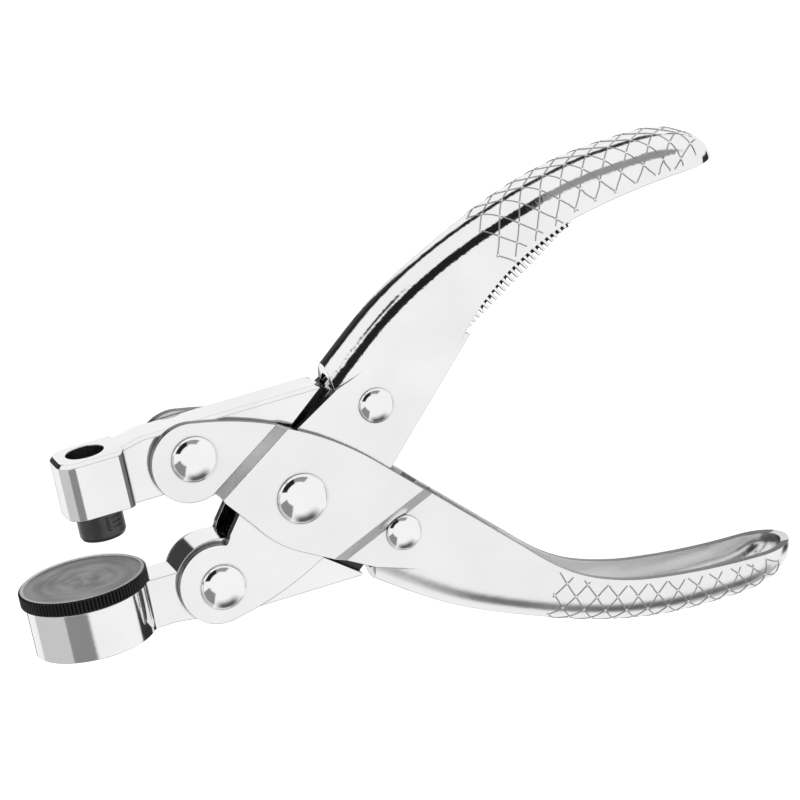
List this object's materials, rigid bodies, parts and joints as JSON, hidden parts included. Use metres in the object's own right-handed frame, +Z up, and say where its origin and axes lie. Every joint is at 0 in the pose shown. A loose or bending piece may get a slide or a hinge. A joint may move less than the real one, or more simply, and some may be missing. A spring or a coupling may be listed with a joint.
{
  "type": "rotary hole punch",
  "caption": "Parallel-jaw hole punch pliers of pressed plated steel with a tubular punch over a turning anvil disc.",
  "frame": {"origin": "bottom centre of the bounding box, with the tool lying on its side", "axes": "+X from the jaws to the ends of the handles, +Y from the lower jaw to the upper jaw, +Z up along the rivets"},
  "size_m": [0.1984, 0.1248, 0.0326],
  "materials": {
    "plated_steel": "bright nickel-chrome plate on pressed sheet steel, with an embossed lattice on the grips",
    "jaw_steel": "bright plated, ground and softly polished",
    "rivet_steel": "polished domed heads",
    "spring_steel": "drawn wire and strip",
    "punch_steel": "blackened hardened steel",
    "wheel_steel": "blackened, with a knurled rim",
    "pad_metal": "dull turned face with faint rings"
  },
  "bodies": {
    "lower_handle": {"lower_handle": "plated_steel", "main_pivot_rivet": "rivet_steel", "upper_jaw_rivet": "rivet_steel", "lower_slot_rivet": "rivet_steel", "pivot_sleeve": "rivet_steel", "return_spring": "spring_steel"},
    "upper_handle": {"upper_handle": "plated_steel", "lower_jaw_rivet": "rivet_steel", "upper_slot_rivet": "rivet_steel"},
    "upper_jaw": {"upper_jaw": "jaw_steel", "punch_tube": "punch_steel"},
    "lower_jaw": {"lower_jaw": "jaw_steel"},
    "anvil": {"anvil_wheel": "wheel_steel", "anvil_pad": "pad_metal", "anvil_screw": "rivet_steel", "anvil_washer": "spring_steel"}
  },
  "joints": [
    {"name": "handle_pivot", "type": "hinge", "parent": "lower_handle", "child": "upper_handle", "pos_m": [-0.02605, -0.0014, 0.0163], "axis": [0, 0, -1], "range_deg": [0, 21.2], "stiffness_Nm_per_rad": 1.5, "springref_deg": -28.65, "deforming": ["return_spring"]},
    {"name": "upper_jaw_pivot", "type": "hinge", "parent": "lower_handle", "child": "upper_jaw", "pos_m": [-0.05005, 0.0157, 0.0163], "axis": [0, 0, -1], "range_deg": [0, 10.6]},
    {"name": "lower_jaw_pivot", "type": "hinge", "parent": "upper_handle", "child": "lower_jaw", "pos_m": [-0.05005, -0.0185, 0.0163], "axis": [0, 0, 1], "range_deg": [0, 10.6]},
    {"name": "anvil_spin", "type": "hinge", "parent": "lower_jaw", "child": "anvil", "pos_m": [-0.08295, -0.0094, 0.0163], "axis": [0, 1, 0], "continuous": true}
  ],
  "couplings": [
    {"joint": "upper_jaw_pivot", "follows": "handle_pivot", "ratio": 0.5},
    {"joint": "lower_jaw_pivot", "follows": "handle_pivot", "ratio": 0.5}
  ]
}
